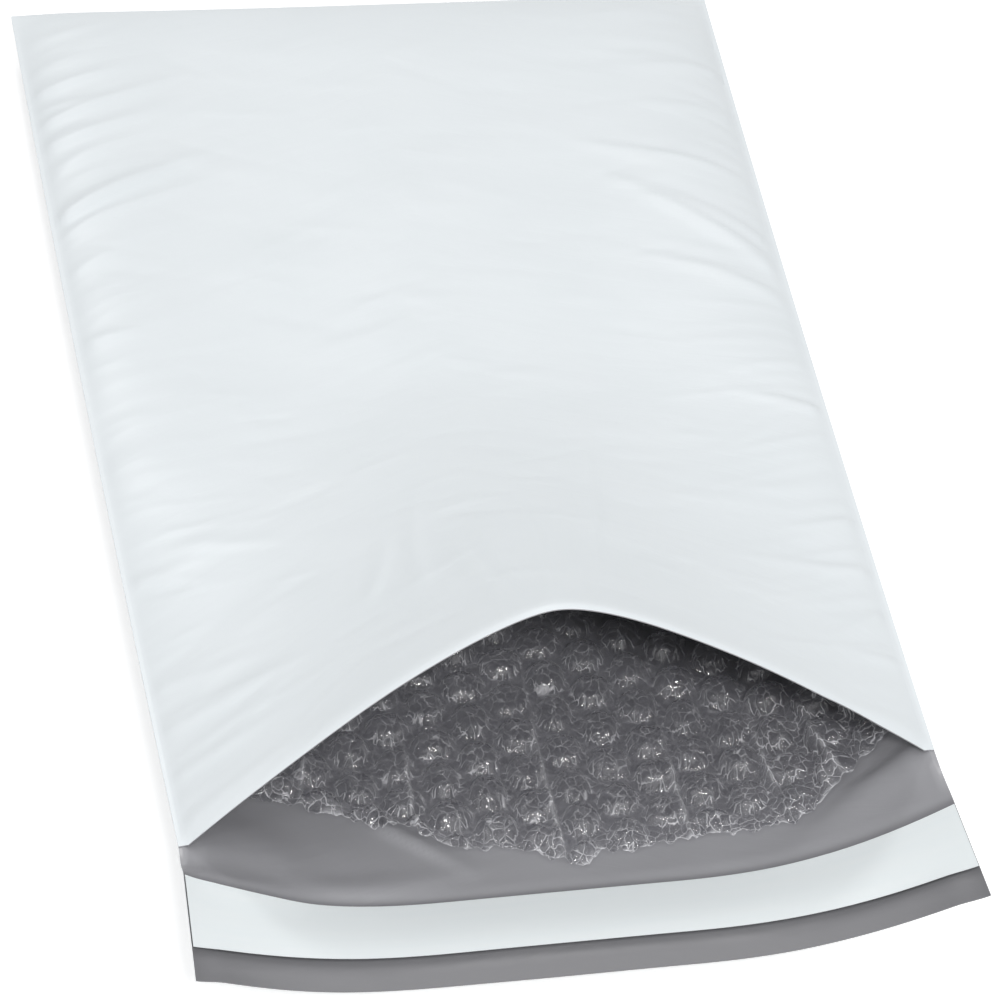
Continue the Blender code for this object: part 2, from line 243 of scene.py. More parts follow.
# Soft folds of the grey side, on the pocket and on the end of the flap
BACK_CREASES = (
    ((-62, -9), (-12, -4), 1.0, 3.0, -2.0),
    ((-42, 13), (-16, -10), 1.5, 2.0, 0.0),
    ((92, 3), (50, -13), 1.4, 3.4, -1.0),
    ((90, -36), (48, -41), 0.7, 2.4, 0.0),
    ((-90, -38), (-40, -40), 0.6, 2.4, 0.0),
)
# The seams gather the film less on the left than on the right
LEFT_PUCKERS, RIGHT_PUCKERS = 0.62, 0.85
PUCKER_START = 91.5
DENT_COUNT, DENT_HEIGHT = 300, 0.17
SWELL_HEIGHT = 0.13 * MM
SEAM_FADE = 3 * MM
END_FADE = 6 * MM
# How far the grey side puffs up above and below the strip, and how softly
PUFF_ABOVE, PUFF_BELOW, PUFF_SWELL = 0.85 * MM, 0.6 * MM, 0.10 * MM
PUFF_END = 26 * MM
BACK_EDGE_FADE = 7 * MM


def seam_puckers(x, v, side, seed):
    """Small gathers that the heat seal leaves all along a side, placed in mm."""
    rng = np.random.default_rng(seed)
    total = np.zeros_like(x)
    at = 4.0
    while at < 300.0:
        run = rng.uniform(18.0, 56.0)
        if side < 0:
            slope = 0.62 * float(ease((at - 70.0) / 120.0))
        else:
            slope = 0.6 * math.sin((at - 130.0) / 300.0 * math.pi * 2)
        slope += rng.uniform(-0.16, 0.16)
        start = (side * PUCKER_START, at)
        end = (side * (PUCKER_START - run), at + run * slope)
        height = rng.uniform(0.12, 0.42) * (LEFT_PUCKERS if side < 0 else RIGHT_PUCKERS)
        total += crease(x, v, start, end, height, rng.uniform(0.9, 2.1), rng.uniform(-1.5, 1.5))
        at += rng.uniform(3.5, 8.0)
    return total


def swell(x, v, seed, waves, longest, shortest):
    """Sum of a few long shallow waves in random directions, about 1 high."""
    rng = np.random.default_rng(seed)
    total = np.zeros_like(x)
    for _ in range(waves):
        angle = rng.uniform(0.0, math.pi)
        length = rng.uniform(shortest, longest) * MM
        phase = rng.uniform(0.0, 2 * math.pi)
        total += np.sin((x * math.cos(angle) + v * math.sin(angle)) * 2 * math.pi / length + phase)
    return total / math.sqrt(waves)


def handling(x, v, seed, count):
    """Short soft dents of handling, mostly across the envelope, up to 1 mm high or deep."""
    rng = np.random.default_rng(seed)
    total = np.zeros_like(x)
    for _ in range(count):
        middle = (rng.uniform(-82, 82), rng.uniform(10, 292))
        reach = rng.uniform(6.0, 20.0)
        tilt = rng.normal(0.25 if middle[0] < 0 else -0.15, 0.35)
        start = (middle[0] - reach, middle[1] - reach * tilt)
        end = (middle[0] + reach, middle[1] + reach * tilt)
        total += crease(x, v, start, end, rng.uniform(-1.0, 1.0), rng.uniform(1.0, 2.6))
    return total


def front_relief(x, v):
    """All wrinkles of the white panel, faded out at the seals and the closed end."""
    relief = seam_puckers(x, v, -1, 11) + seam_puckers(x, v, 1, 12)
    for start, end, height, width, bend in FRONT_CREASES + LIP_PULLS:
        relief += crease(x, v, start, end, height, width, bend)
    relief += DENT_HEIGHT * handling(x, v, 24, DENT_COUNT)
    relief += SWELL_HEIGHT * swell(x, v, 21, 9, 70, 24)
    return relief * ease((SEAL_U * HALF - np.abs(x)) / SEAM_FADE) * ease((LENGTH - v) / END_FADE)


def mound(x, v, centre, radius, height):
    """A round soft rise, given in mm on the flat sheet."""
    reach = np.hypot(x - centre[0] * MM, v - centre[1] * MM) / (radius * MM)
    return height * MM * np.exp(-reach ** 4)


def back_relief(x, v):
    """Soft folds of the grey side, which puffs up beside the strip. Never below 0."""
    relief = mound(x, v, (-76, -4), 15, 1.3)
    for start, end, height, width, bend in BACK_CREASES:
        relief += crease(x, v, start, end, height, width, bend)
    above = ease((v + STRIP_AT) / (4.5 * MM)) * ease((PUFF_END - v) / PUFF_END)
    below = ease((-v - STRIP_AT - LINER_WIDTH) / (3.5 * MM))
    relief += PUFF_ABOVE * above + PUFF_BELOW * below
    relief += PUFF_SWELL * (1 + swell(x, v, 22, 7, 60, 22)) * (above + below)
    sides = ease((HALF - np.abs(x)) / BACK_EDGE_FADE)
    return np.maximum(relief, 0.0) * sides * ease((60 * MM - v) / (40 * MM))


def back_panel(u, v):
    """Outer face of the back panel, which lies on the table."""
    bow = BACK_BOW * ((LENGTH - v) / (LENGTH + FLAP)) ** BOW_CURVE
    edge = mix(across(u), np.abs(u), ease(-v / STRIP_AT))
    y = v + bow * (1 - edge ** BOW_SHAPE) + slant(u, v)
    z = back_height(u, v) + back_relief(u * HALF, v)
    return np.stack([place_across(u, v), Y_MOUTH + y, z], -1)


def smooth_front(u, v):
    """Outer face of the front panel before its creases."""
    k = clamp(1 - v / MOUTH_REACH)
    y = v + k * LIP_SETBACK * (1 - lip_share(u)) + slant(u, v)
    inner = np.abs(u) < SEAL_U
    z = body_height(u, v) + 2 * FILM + opening(u, v) + np.where(inner, 0.0, back_relief(u * HALF, v))
    z -= LIP_CURL * np.where(inner, clamp(1 - v / CURL_REACH) ** 2, 0.0)
    return np.stack([place_across(u, v), Y_MOUTH + y, z], -1)


def front_panel(u, v):
    """Outer face of the front panel."""
    point = smooth_front(u, v)
    point[..., 2] += front_relief(u * HALF, v)
    return point


class Sheet:
    """Collects grids of points on the flat sheet and the faces between them."""

    def __init__(self):
        self.points = []
        self.flat = []
        self.marks = []
        self.faces = []
        self.slots = []
        self.count = 0

    def add(self, block, x, v, marks=None):
        """Points in rows, with their place on the flat sheet; gives their index grid."""
        self.points.append(block.reshape(-1, 3))
        self.flat.append(np.stack([x, v], -1).reshape(-1, 2))
        self.marks.append(np.zeros((x.size, 2)) if marks is None else marks.reshape(-1, 2))
        index = np.arange(x.size).reshape(x.shape) + self.count
        self.count += x.size
        return index

    def grid(self, surface, columns, rows, lift=0.0, marks=None):
        """A grid on a surface; rows is one list, or one list for each column."""
        v = rows if rows.ndim == 2 else np.repeat(rows[:, None], len(columns), 1)
        u = np.broadcast_to(columns, v.shape)
        block = surface(u, v) + np.array([0.0, 0.0, lift])
        return self.add(block, u * HALF, v, marks(u, v) if marks else None)

    def skin(self, index, slot=0, flip=False):
        """Quads between the rows of an index grid, facing up where rows run inwards."""
        quads = np.stack([index[:-1, :-1], index[:-1, 1:], index[1:, 1:], index[1:, :-1]], -1)
        quads = quads.reshape(-1, 4)
        if flip:
            quads = quads[:, ::-1]
        # where two rows meet in one point the quad is a triangle
        for quad in quads.tolist():
            self.face([corner for i, corner in enumerate(quad) if corner != quad[i - 1]], slot)

    def face(self, corners, slot=0):
        self.faces.append([int(i) for i in corners])
        self.slots.append(slot)

    def halve(self, fine, coarse, slot=0, flip=False):
        """Triangles from a row to one with half as many points."""
        for i in range(len(coarse) - 1):
            a, b, c = fine[2 * i:2 * i + 3]
            d, e = coarse[i + 1], coarse[i]
            for corners in ((a, b, e), (b, c, d), (b, d, e)):
                self.face(corners[::-1] if flip else corners, slot)

    def make(self, name, materials, sharp=40.0):
        mesh = bpy.data.meshes.new(name)
        mesh.from_pydata(np.concatenate(self.points).tolist(), [], self.faces)
        mesh.polygons.foreach_set("material_index", self.slots)
        loops = np.zeros(len(mesh.loops), np.int32)
        mesh.loops.foreach_get("vertex_index", loops)
        flat = np.concatenate(self.flat)[loops]
        layer = mesh.uv_layers.new(name="flat_sheet")
        layer.data.foreach_set("uv", flat.astype(np.float32).ravel())
        # only the bubble web is marked, with how creased it is and with painted glint lines at its cut
        # and pleats
        marks = np.concatenate(self.marks)
        if marks.any():
            for column, mark in enumerate(("creased", "glint_lines")):
                values = mesh.attributes.new(mark, "FLOAT", "POINT")
                values.data.foreach_set("value", marks[:, column].astype(np.float32))
        mesh.shade_smooth()
        mesh.set_sharp_from_angle(angle=math.radians(sharp))
        for material in materials:
            mesh.materials.append(material)
        piece = bpy.data.objects.new(name, mesh)
        bpy.context.scene.collection.objects.link(piece)
        return piece


def linear(code):
    """An sRGB hex colour as linear RGBA."""
    parts = [int(code[i:i + 2], 16) / 255 for i in (1, 3, 5)]
    return (*[c / 12.92 if c <= 0.04045 else ((c + 0.055) / 1.055) ** 2.4 for c in parts], 1.0)


def add_node(tree, kind, settings=None, **sockets):
    """A node with its settings; each socket takes a value, or a link from an output."""
    node = tree.nodes.new(kind)
    for key, value in (settings or {}).items():
        setattr(node, key, value)
    for key, value in sockets.items():
        socket = node.inputs[int(key[1:]) if key[1:].isdigit() else key.replace("_", " ")]
        if isinstance(value, bpy.types.NodeSocket):
            tree.links.new(value, socket)
        else:
            socket.default_value = value
    return node


def new_material(name):
    material = bpy.data.materials.new(name)
    material.use_nodes = True
    material.node_tree.nodes.clear()
    output = material.node_tree.nodes.new("ShaderNodeOutputMaterial")
    return material, material.node_tree, output


# Sizes of the film's cloudiness, crinkles, grain and drawn streaks
CLOUD = 28 * MM
CRINKLE = 9 * MM
GRAIN = 0.9 * MM
STREAK_LENGTH, STREAK_WIDTH, STREAK_SLOPE = 20 * MM, 4 * MM, 0.4
FILM_BUMP = 0.25 * MM
# how far the painted shade reaches out from the strip's edges
STRIP_SHADE_REACH = 3.5 * MM


def co_extruded_film(name, colour, deep, roughness, flap_end_shade, strip_shade):
    """Blown polyethylene film: satin, faintly cloudy, with fine handling crinkles."""
    material, tree, output = new_material(name)
    place = add_node(tree, "ShaderNodeUVMap", {"uv_map": "flat_sheet"}).outputs[0]
    axes = add_node(tree, "ShaderNodeSeparateXYZ", Vector=place)
    inwards = axes.outputs["Y"]
    cloud = add_node(tree, "ShaderNodeTexNoise", Vector=place, Scale=1 / CLOUD, Detail=3.0)
    tone = add_node(tree, "ShaderNodeMix", {"data_type": "RGBA"}, Factor=cloud.outputs["Fac"])
    tone.inputs["A"].default_value = linear(deep)
    tone.inputs["B"].default_value = linear(colour)
    # painted shade: the end of the flap, past the strip, is painted darker than the pocket
    flap_end_share = add_node(tree, "ShaderNodeMapRange", Value=inwards, n1=-STRIP_AT,
                     n2=-STRIP_AT - LINER_WIDTH)
    tone = add_node(tree, "ShaderNodeMix", {"data_type": "RGBA"}, Factor=flap_end_share.outputs[0],
                    A=tone.outputs["Result"])
    tone.inputs["B"].default_value = linear(flap_end_shade)
    # painted shade: a darker line, a painted contact shadow, runs along both edges of the strip
    strip_middle = STRIP_AT + LINER_WIDTH / 2
    from_middle = add_node(tree, "ShaderNodeMath", {"operation": "ADD"}, n0=inwards, n1=strip_middle)
    from_middle = add_node(tree, "ShaderNodeMath", {"operation": "ABSOLUTE"},
                           n0=from_middle.outputs[0])
    from_edge = add_node(tree, "ShaderNodeMath", {"operation": "SUBTRACT"},
                         n0=from_middle.outputs[0], n1=LINER_WIDTH / 2)
    strip_shade_share = add_node(tree, "ShaderNodeMapRange", {"interpolation_type": "SMOOTHERSTEP"},
                    Value=from_edge.outputs[0], n1=0.0, n2=STRIP_SHADE_REACH, n3=0.5, n4=0.0)
    tone = add_node(tree, "ShaderNodeMix", {"data_type": "RGBA"}, Factor=strip_shade_share.outputs[0],
                    A=tone.outputs["Result"])
    tone.inputs["B"].default_value = linear(strip_shade)
    # blown film pulls into short soft crinkles 4 to 8 mm apart, over a grain of 1 mm
    crinkle = add_node(tree, "ShaderNodeTexNoise", Vector=place, Scale=1 / CRINKLE, Detail=4.0,
                       Roughness=0.45, Distortion=0.6)
    grain = add_node(tree, "ShaderNodeTexNoise", Vector=place, Scale=1 / GRAIN, Detail=2.0)
    both = add_node(tree, "ShaderNodeMath", {"operation": "MULTIPLY_ADD"},
                    n0=grain.outputs["Fac"], n1=0.03, n2=crinkle.outputs["Fac"])
    # and it is drawn into faint streaks that run down from the middle to both seams
    sideways = add_node(tree, "ShaderNodeMath", {"operation": "ABSOLUTE"}, n0=axes.outputs["X"])
    slanted = add_node(tree, "ShaderNodeMath", {"operation": "MULTIPLY_ADD"},
                       n0=sideways.outputs[0], n1=STREAK_SLOPE, n2=inwards)
    drawn = add_node(tree, "ShaderNodeCombineXYZ", X=axes.outputs["X"], Y=slanted.outputs[0])
    drawn = add_node(tree, "ShaderNodeMapping", Vector=drawn.outputs[0],
                     Scale=(1 / STREAK_LENGTH, 1 / STREAK_WIDTH, 1.0))
    streaks = add_node(tree, "ShaderNodeTexNoise", Vector=drawn.outputs[0], Scale=1.0, Detail=3.0,
                       Distortion=0.4)
    relief = add_node(tree, "ShaderNodeMath", {"operation": "MULTIPLY_ADD"},
                      n0=streaks.outputs["Fac"], n1=0.9, n2=both.outputs[0])
    bump = add_node(tree, "ShaderNodeBump", Strength=0.45, Distance=FILM_BUMP,
                    Height=relief.outputs[0])
    shader = add_node(tree, "ShaderNodeBsdfPrincipled", Base_Color=tone.outputs["Result"],
                      Roughness=roughness, IOR=1.5, Normal=bump.outputs[0])
    tree.links.new(shader.outputs[0], output.inputs[0])
    return material


# The white side is alike in all places. The grey side lies in shade, so it is written light
white_film = co_extruded_film("white_polyethylene_film", "#e6ebee", "#e1e7ea", 0.45,
                              "#e6ebee", "#e6ebee")
# the grey's last two colours are painted shade, on the flap end and along the strip
grey_film = co_extruded_film("grey_polyethylene_film", "#a4a4a8", "#9d9da1", 0.32,
                             "#818184", "#5e5e61")
WHITE, GREY = 0, 1

inner_columns = np.linspace(-SEAL_U, SEAL_U, 149)
seal_columns = np.linspace(SEAL_U, 1.0, 3)[1:]
columns = np.concatenate([-seal_columns[::-1], inner_columns, seal_columns])
SEALED = len(seal_columns)
flap_rows = np.linspace(-FLAP, 0.0, 27)
front_rows = np.concatenate([
    np.linspace(0.0, LENGTH - PAD_ROUNDING, 241)[:-1],
    LENGTH - PAD_ROUNDING * (1 - np.sin(np.linspace(0.0, math.pi / 2, 25))),
])
# The back and the inside are finely drawn as far in as they show, then coarsely
SEEN = 60
back_rows = np.concatenate([front_rows[:SEEN], front_rows[SEEN::2]])
deep_rows = front_rows[SEEN + 4::4]
deep_rows = deep_rows[deep_rows < LENGTH - END_FOLD]
deep_columns = inner_columns[::2]
DEEP_GAP = 0.5 * MM

film = Sheet()
outer_back = film.grid(back_panel, columns, np.concatenate([flap_rows[:-1], back_rows]))
outer_front = film.grid(front_panel, columns, front_rows)
flap_top = film.grid(back_panel, columns, flap_rows, FILM)
inner_back = film.grid(back_panel, inner_columns, front_rows[1:SEEN + 1], FILM)
inner_back = np.concatenate([flap_top[-1:, SEALED:-SEALED], inner_back])
inner_front = film.grid(front_panel, inner_columns, front_rows[:SEEN + 1], -FILM)
deep_back = film.grid(back_panel, deep_columns, deep_rows, FILM)
deep_front = film.grid(smooth_front, deep_columns, deep_rows, -FILM - DEEP_GAP)
for side in (0, -1):
    inner_front[:, side] = inner_back[:, side]
    deep_front[:, side] = deep_back[:, side]
mouth_row = flap_top[-1]
lip_row = np.concatenate([mouth_row[:SEALED], inner_front[0], mouth_row[-SEALED:]])

film.skin(outer_back, WHITE, flip=True)
film.skin(outer_front, WHITE)
film.skin(flap_top, GREY)
film.skin(inner_back, GREY)
film.halve(inner_back[-1], deep_back[0], GREY)
film.skin(deep_back, GREY)
film.skin(inner_front, GREY, flip=True)
film.halve(inner_front[-1], deep_front[0], GREY, flip=True)
film.skin(deep_front, GREY, flip=True)
film.skin(np.stack([outer_back[0], flap_top[0]]), GREY)
film.skin(np.stack([lip_row, outer_front[0]]), GREY)
film.skin(np.stack([outer_front[-1], outer_back[-1]]), WHITE)
film.skin(np.stack([deep_back[-1], deep_front[-1]]), GREY)
on_flap = len(flap_rows) - 1
for side, facing_left in ((0, True), (-1, False)):
    film.skin(np.stack([outer_back[:on_flap + 1, side], flap_top[:, side]]), WHITE, flip=facing_left)
    low, high = outer_back[on_flap:, side], outer_front[:, side]
    film.skin(np.stack([low[:SEEN + 1], high[:SEEN + 1]]), WHITE, flip=facing_left)
    film.halve(high[SEEN:], low[SEEN:], WHITE, flip=not facing_left)
    lip_corner = [low[0], high[0], mouth_row[side]]
    film.face(lip_corner[::-1] if facing_left else lip_corner, WHITE)

# the inner side walls share their points with the back, so their own are left unused
envelope_film = film.make("envelope_film", [white_film, grey_film])
clean = bmesh.new()
clean.from_mesh(envelope_film.data)
loose = [vert for vert in clean.verts if not vert.link_faces]
bmesh.ops.delete(clean, geom=loose, context="VERTS")
clean.to_mesh(envelope_film.data)
clean.free()
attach(envelope_film, "root")
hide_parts("outer_film")

# Bubble lining
# One web of clear polyethylene bubble film, folded at the closed end with its bubbles
# inwards and cut raggedly near the mouth. Packing has dented and wrinkled it.

PITCH = 12.1 * MM
COLUMN_STEP = PITCH * math.sqrt(3) / 2
FIRST_X = 8.6 * MM
FIRST_V = 6.2 * MM
BUBBLE_RADIUS = 4.9 * MM
BUBBLE_HEIGHT = 3.7 * MM
BACK_GAP = 0.25 * MM
FRONT_GAP = 0.9 * MM
WEB_HALF = HALF - 6.1 * MM
TURN_V = LENGTH - 7.5 * MM
FRONT_CUT = 10 * MM
FINE_END = 72 * MM
MIDDLE_END = 172 * MM
# The cut edge on the back panel: place across, and distance from the mouth in mm
CUT_EDGE = (
    (-0.934, 23.0), (-0.79, 19.5), (-0.66, 18.0), (-0.54, 14.8), (-0.47, 11.7), (-0.39, 9.3),
    (-0.35, 5.9), (-0.22, 0.0), (-0.12, 0.3), (0.0, -5.5), (0.08, -8.6), (0.13, -4.5),
    (0.21, -5.0), (0.39, -3.1), (0.66, -4.8), (0.79, 1.5), (0.85, 6.4), (0.934, 10.5),
)
# Lengthwise pleats between the bubble columns: from the cut edge inwards, mm
PLEATS = (
    ((2.4, -9), (3.6, 72), 2.2, 0.75, 0.8),
    ((-33.2, 2), (-29.6, 60), 1.6, 0.7, -0.6),
    ((34.6, -6), (33.6, 52), 1.5, 0.7, 0.5),
    ((75.0, -2), (64.4, 46), 1.6, 0.8, 0.0),
    ((57.8, 4), (54.0, 58), 1.1, 0.7, 0.0),
    ((-60.0, 14), (-52.0, 60), 1.1, 0.8, 0.0),
)
PINCH_HEIGHT = 0.9 * MM
CRUMPLE_HEIGHT = 0.35 * MM
LOOSE_CRUMPLE, LOOSE_RISE = 0.7 * MM, 0.4 * MM


def cut_edge(u):
    places, distances = np.array(CUT_EDGE).T
    x = u * HALF / MM
    frayed = 0.7 * np.sin(0.83 * x + 1.6 * np.sin(0.41 * x))
    frayed = frayed + 0.3 * np.sin(2.1 * x + 2.2 * np.sin(0.67 * x + 1.0))
    return (np.interp(u, places, distances) + frayed) * MM


def front_cut(u):
    return FRONT_CUT + 0.5 * MM * np.sin(u * HALF / MM * 1.4)


def nearest_bubble(x, v):
    """Column and row of the nearest bubble, and the way there from its middle."""
    best = np.full(x.shape, 1.0)
    column = np.zeros(x.shape, int)
    row = np.zeros(x.shape, int)
    guess = np.floor((x - FIRST_X) / COLUMN_STEP).astype(int)
    for c in (guess, guess + 1):
        shift = np.mod(c, 2) / 2
        r = np.round((v - FIRST_V) / PITCH - shift).astype(int)
        distance = np.hypot(x - FIRST_X - c * COLUMN_STEP, v - FIRST_V - (r + shift) * PITCH)
        nearer = distance < best
        best = np.where(nearer, distance, best)
        column = np.where(nearer, c, column)
        row = np.where(nearer, r, row)
    dx = x - FIRST_X - column * COLUMN_STEP
    dv = v - FIRST_V - (row + np.mod(column, 2) / 2) * PITCH
    return column, row, dx, dv


class Bubbles:
    """The hexagonal pattern of bubbles, each with its own dents and wrinkles."""

    # a table with room for every bubble, in which these are the middle column and first row
    MIDDLE_COLUMN, FIRST_ROW = 20, 10

    def __init__(self, seed):
        rng = np.random.default_rng(seed)
        shape = (40, 80)
        self.ribs = rng.integers(5, 12, shape)
        self.phase = rng.uniform(0, 2 * math.pi, shape)
        self.dent = rng.uniform(0.0, 1.0, shape) ** 1.5
        self.dent_x = rng.uniform(-0.35, 0.35, shape)
        self.dent_v = rng.uniform(-0.35, 0.35, shape)
        self.full = rng.uniform(0.6, 1.0, shape)
        self.lean = rng.uniform(-0.12, 0.12, shape)
        self.pinch = rng.uniform(0.0, 1.0, shape)
        self.star = rng.uniform(0.3, 1.0, shape)

    def height(self, x, v):
        """Height over the web in metres, before it is limited to the room there is."""
        column, row, dx, dv = nearest_bubble(x, v)
        pick = (column + self.MIDDLE_COLUMN, row + self.FIRST_ROW)
        reach = np.hypot(dx * (1 + self.lean[pick]), dv * (1 - self.lean[pick])) / BUBBLE_RADIUS
        angle = np.arctan2(dv, dx)
        inside = clamp(reach)
        dome = (1 - inside ** 3.2) ** 0.5
        turns = self.ribs[pick] * angle + self.phase[pick]
        ribs = np.sin(turns) * np.sin(math.pi * clamp((inside - 0.25) / 0.75)) ** 2
        fine_ribs = np.sin((2 * self.ribs[pick] + 3) * angle + 2 * self.phase[pick])
        ribs = ribs + 0.4 * fine_ribs * ease((inside - 0.5) / 0.2) * ease((0.95 - inside) / 0.15)
        # a slack bubble gathers into a star of sharp folds round its top
        off_x = dx / BUBBLE_RADIUS - 0.6 * self.dent_x[pick]
        off_v = dv / BUBBLE_RADIUS - 0.6 * self.dent_v[pick]
        centre = np.hypot(off_x, off_v)
        folds = 1 - np.abs(np.sin(self.ribs[pick] * np.arctan2(off_v, off_x) / 2 + self.phase[pick]))
        star = self.star[pick] * folds ** 2 * ease(centre / 0.12) * np.exp(-(centre / 0.42) ** 2)
        off_x = dx / BUBBLE_RADIUS - self.dent_x[pick]
        off_v = dv / BUBBLE_RADIUS - self.dent_v[pick]
        dent = self.dent[pick] * np.exp(-(off_x ** 2 + off_v ** 2) / 0.14)
        height = dome * self.full[pick] - 0.26 * dent + 0.06 * ribs + 0.11 * star
        bump = np.where(reach < 1, np.maximum(height, 0.0), 0.0) * BUBBLE_HEIGHT
        # the film is drawn up sharply in the gap between some bubbles of a column
        gap_v = np.abs(np.abs(dv) - PITCH / 2)
        drawn = self.pinch[pick] * np.exp(-(gap_v / (0.45 * MM)) ** 2) * np.exp(-(dx / (2.4 * MM)) ** 4)
        return bump + PINCH_HEIGHT * drawn


def crumple(x, v, seed, size, sharp=1.0):
    """Faceted crinkles: overlapping folds with sharp ridges, from 0 to about 1."""
    rng = np.random.default_rng(seed)
    total = np.zeros_like(x)
    folds = 7
    for _ in range(folds):
        angle = rng.uniform(0.0, math.pi)
        length = rng.uniform(0.7, 1.6) * size * MM
        phase = rng.uniform(0.0, 2 * math.pi)
        bent = 0.35 * np.sin((x * math.sin(angle) - v * math.cos(angle)) / (1.7 * length) + phase)
        wave = np.sin((x * math.cos(angle) + v * math.sin(angle)) * math.pi / length + phase + bent)
        total += 1 - np.abs(wave) ** sharp
    return total / folds


def looseness(x, v, from_cut):
    """1 at the cut edge and in the right corner of the mouth, 0 where the web lies tight."""
    corner = ease((x - 46 * MM) / (14 * MM)) * ease((46 * MM - v) / (22 * MM))
    return np.maximum(ease(1 - from_cut / (9 * MM)), 0.7 * corner)


def web_surface(panel, bubbles, cut, inward, gap):
    """The web as a surface over one panel; inward is 1 on the back and -1 on the front."""

    def surface(u, v):
        x = u * HALF
        step = 0.4 * MM
        du = panel(u + step / HALF, v) - panel(u - step / HALF, v)
        dv = panel(u, v + step) - panel(u, v - step)
        normal = np.cross(du, dv)
        normal /= np.linalg.norm(normal, axis=-1, keepdims=True)
        from_cut = v - cut(u)
        loose = looseness(x, v, from_cut)
        lift = bubbles.height(x, v) * ease((from_cut + 0.5 * MM) / (7 * MM))
        if inward > 0:
            for start, end, height, width, bend in PLEATS:
                lift = lift + crease(x, v, start, end, height, width, bend)
        lift = lift + CRUMPLE_HEIGHT * crumple(x, v, 41, 4.0, 0.8)
        lift = lift + loose * (LOOSE_CRUMPLE * crumple(x, v, 42, 3.6) + LOOSE_RISE)
        room = opening(u, v) / 2 - gap - 0.3 * MM
        lift = np.minimum(lift, np.maximum(room, 0.0))
        return panel(u, v) + normal * (inward * (lift + gap + FILM))[..., None]

    return surface


def web_marks(cut):
    """How creased the film is at each point, and painted glint lines along the cut and pleat crests."""

    def marks(u, v):
        x = u * HALF
        column, row, dx, dv = nearest_bubble(x, v)
        reach = np.hypot(dx, dv) / BUBBLE_RADIUS
        top = np.exp(-(reach / 0.45) ** 2)
        rim = np.exp(-((reach - 1.0) / 0.14) ** 2)
        from_cut = v - cut(u)
        creased = 0.25 + 0.55 * np.maximum(top, rim) + 0.5 * looseness(x, v, from_cut)
        # a painted glint line runs along the cut, stronger and wider in places
        line = 0.5 + 0.5 * np.sin(x / MM * 0.83 + 2.0 * np.sin(x / MM * 0.31))
        glint_lines = (0.25 + 0.75 * line) * np.exp(-from_cut / ((0.05 + 0.8 * line ** 3) * MM))
        # each pleat is creased more, with a painted glint line on its crest
        for start, end, height, width, bend in PLEATS:
            ridge = crease(x, v, start, end, 1.0, width, bend) / MM
            creased = np.maximum(creased, 0.9 * ridge)
            glint_lines = np.maximum(glint_lines, 0.35 * ridge ** 3)
        return np.stack([clamp(creased), clamp(glint_lines)], -1)

    return marks


# The web is drawn finely as far in as it shows, then half and a quarter as finely
FINE = 0.54 * MM
half_count = 4 * int(round(WEB_HALF / FINE / 4))
fine_columns = np.linspace(-WEB_HALF, WEB_HALF, 2 * half_count + 1) / HALF
middle_columns = fine_columns[::2]
coarse_columns = fine_columns[::4]


def rows_from(cut, columns, last, step):
    """Rows that start on the cut edge and even out further in."""
    share = np.linspace(0.0, 1.0, int(round(last / step)) + 1)[:, None]
    return mix(cut(columns)[None, :], last, share)


def straight_rows(first, last, step):
    return np.arange(first + step, last + step / 2, step)


web = Sheet()
back_web = web_surface(back_panel, Bubbles(31), cut_edge, 1, BACK_GAP)
front_web = web_surface(smooth_front, Bubbles(32), front_cut, -1, FRONT_GAP)
back_marks = web_marks(cut_edge)
front_marks = web_marks(front_cut)
middle_rows = straight_rows(FINE_END, MIDDLE_END, 2 * FINE)
coarse_rows = straight_rows(MIDDLE_END, TURN_V, 4 * FINE)
near_rows = rows_from(cut_edge, fine_columns, FINE_END, FINE)
near = web.grid(back_web, fine_columns, near_rows, marks=back_marks)
middle = web.grid(back_web, middle_columns, middle_rows, marks=back_marks)
deep = web.grid(back_web, coarse_columns, coarse_rows, marks=back_marks)
over_rows = rows_from(front_cut, middle_columns, MIDDLE_END, 2 * FINE)
over = web.grid(front_web, middle_columns, over_rows, marks=front_marks)
over_deep = web.grid(front_web, coarse_columns, coarse_rows, marks=front_marks)
web.skin(near)
web.halve(near[-1], middle[0])
web.skin(middle)
web.halve(middle[-1], deep[0])
web.skin(deep)
web.skin(over, flip=True)
web.halve(over[-1], over_deep[0], flip=True)
web.skin(over_deep, flip=True)


def turned(steps=5):
    """The rows that carry the web round from the back panel to the front one."""
    points = np.concatenate(web.points)
    low, high = points[deep[-1]], points[over_deep[-1]]
    middle_line = (low + high) / 2
    reach = np.linalg.norm(high - low, axis=1) * 0.4 + 0.8 * MM
    out = np.stack([0 * reach, reach, 0 * reach], -1)
    rows = [deep[-1]]
    for i in range(1, steps):
        angle = math.pi * i / steps
        block = middle_line + (low - middle_line) * math.cos(angle) + out * math.sin(angle)
        rows.append(web.add(block, coarse_columns * HALF, np.full(len(block), TURN_V)))
    rows.append(over_deep[-1])
    return np.stack(rows)


web.skin(turned())


# Sizes of the clear film's facets, of their sway, of its hairline wrinkles and its haze
FACET = 2.4 * MM
FACET_SWAY = 3 * MM
HAIRLINE = 0.8 * MM
HAZE = 4 * MM
FACET_BUMP = 1.0 * MM


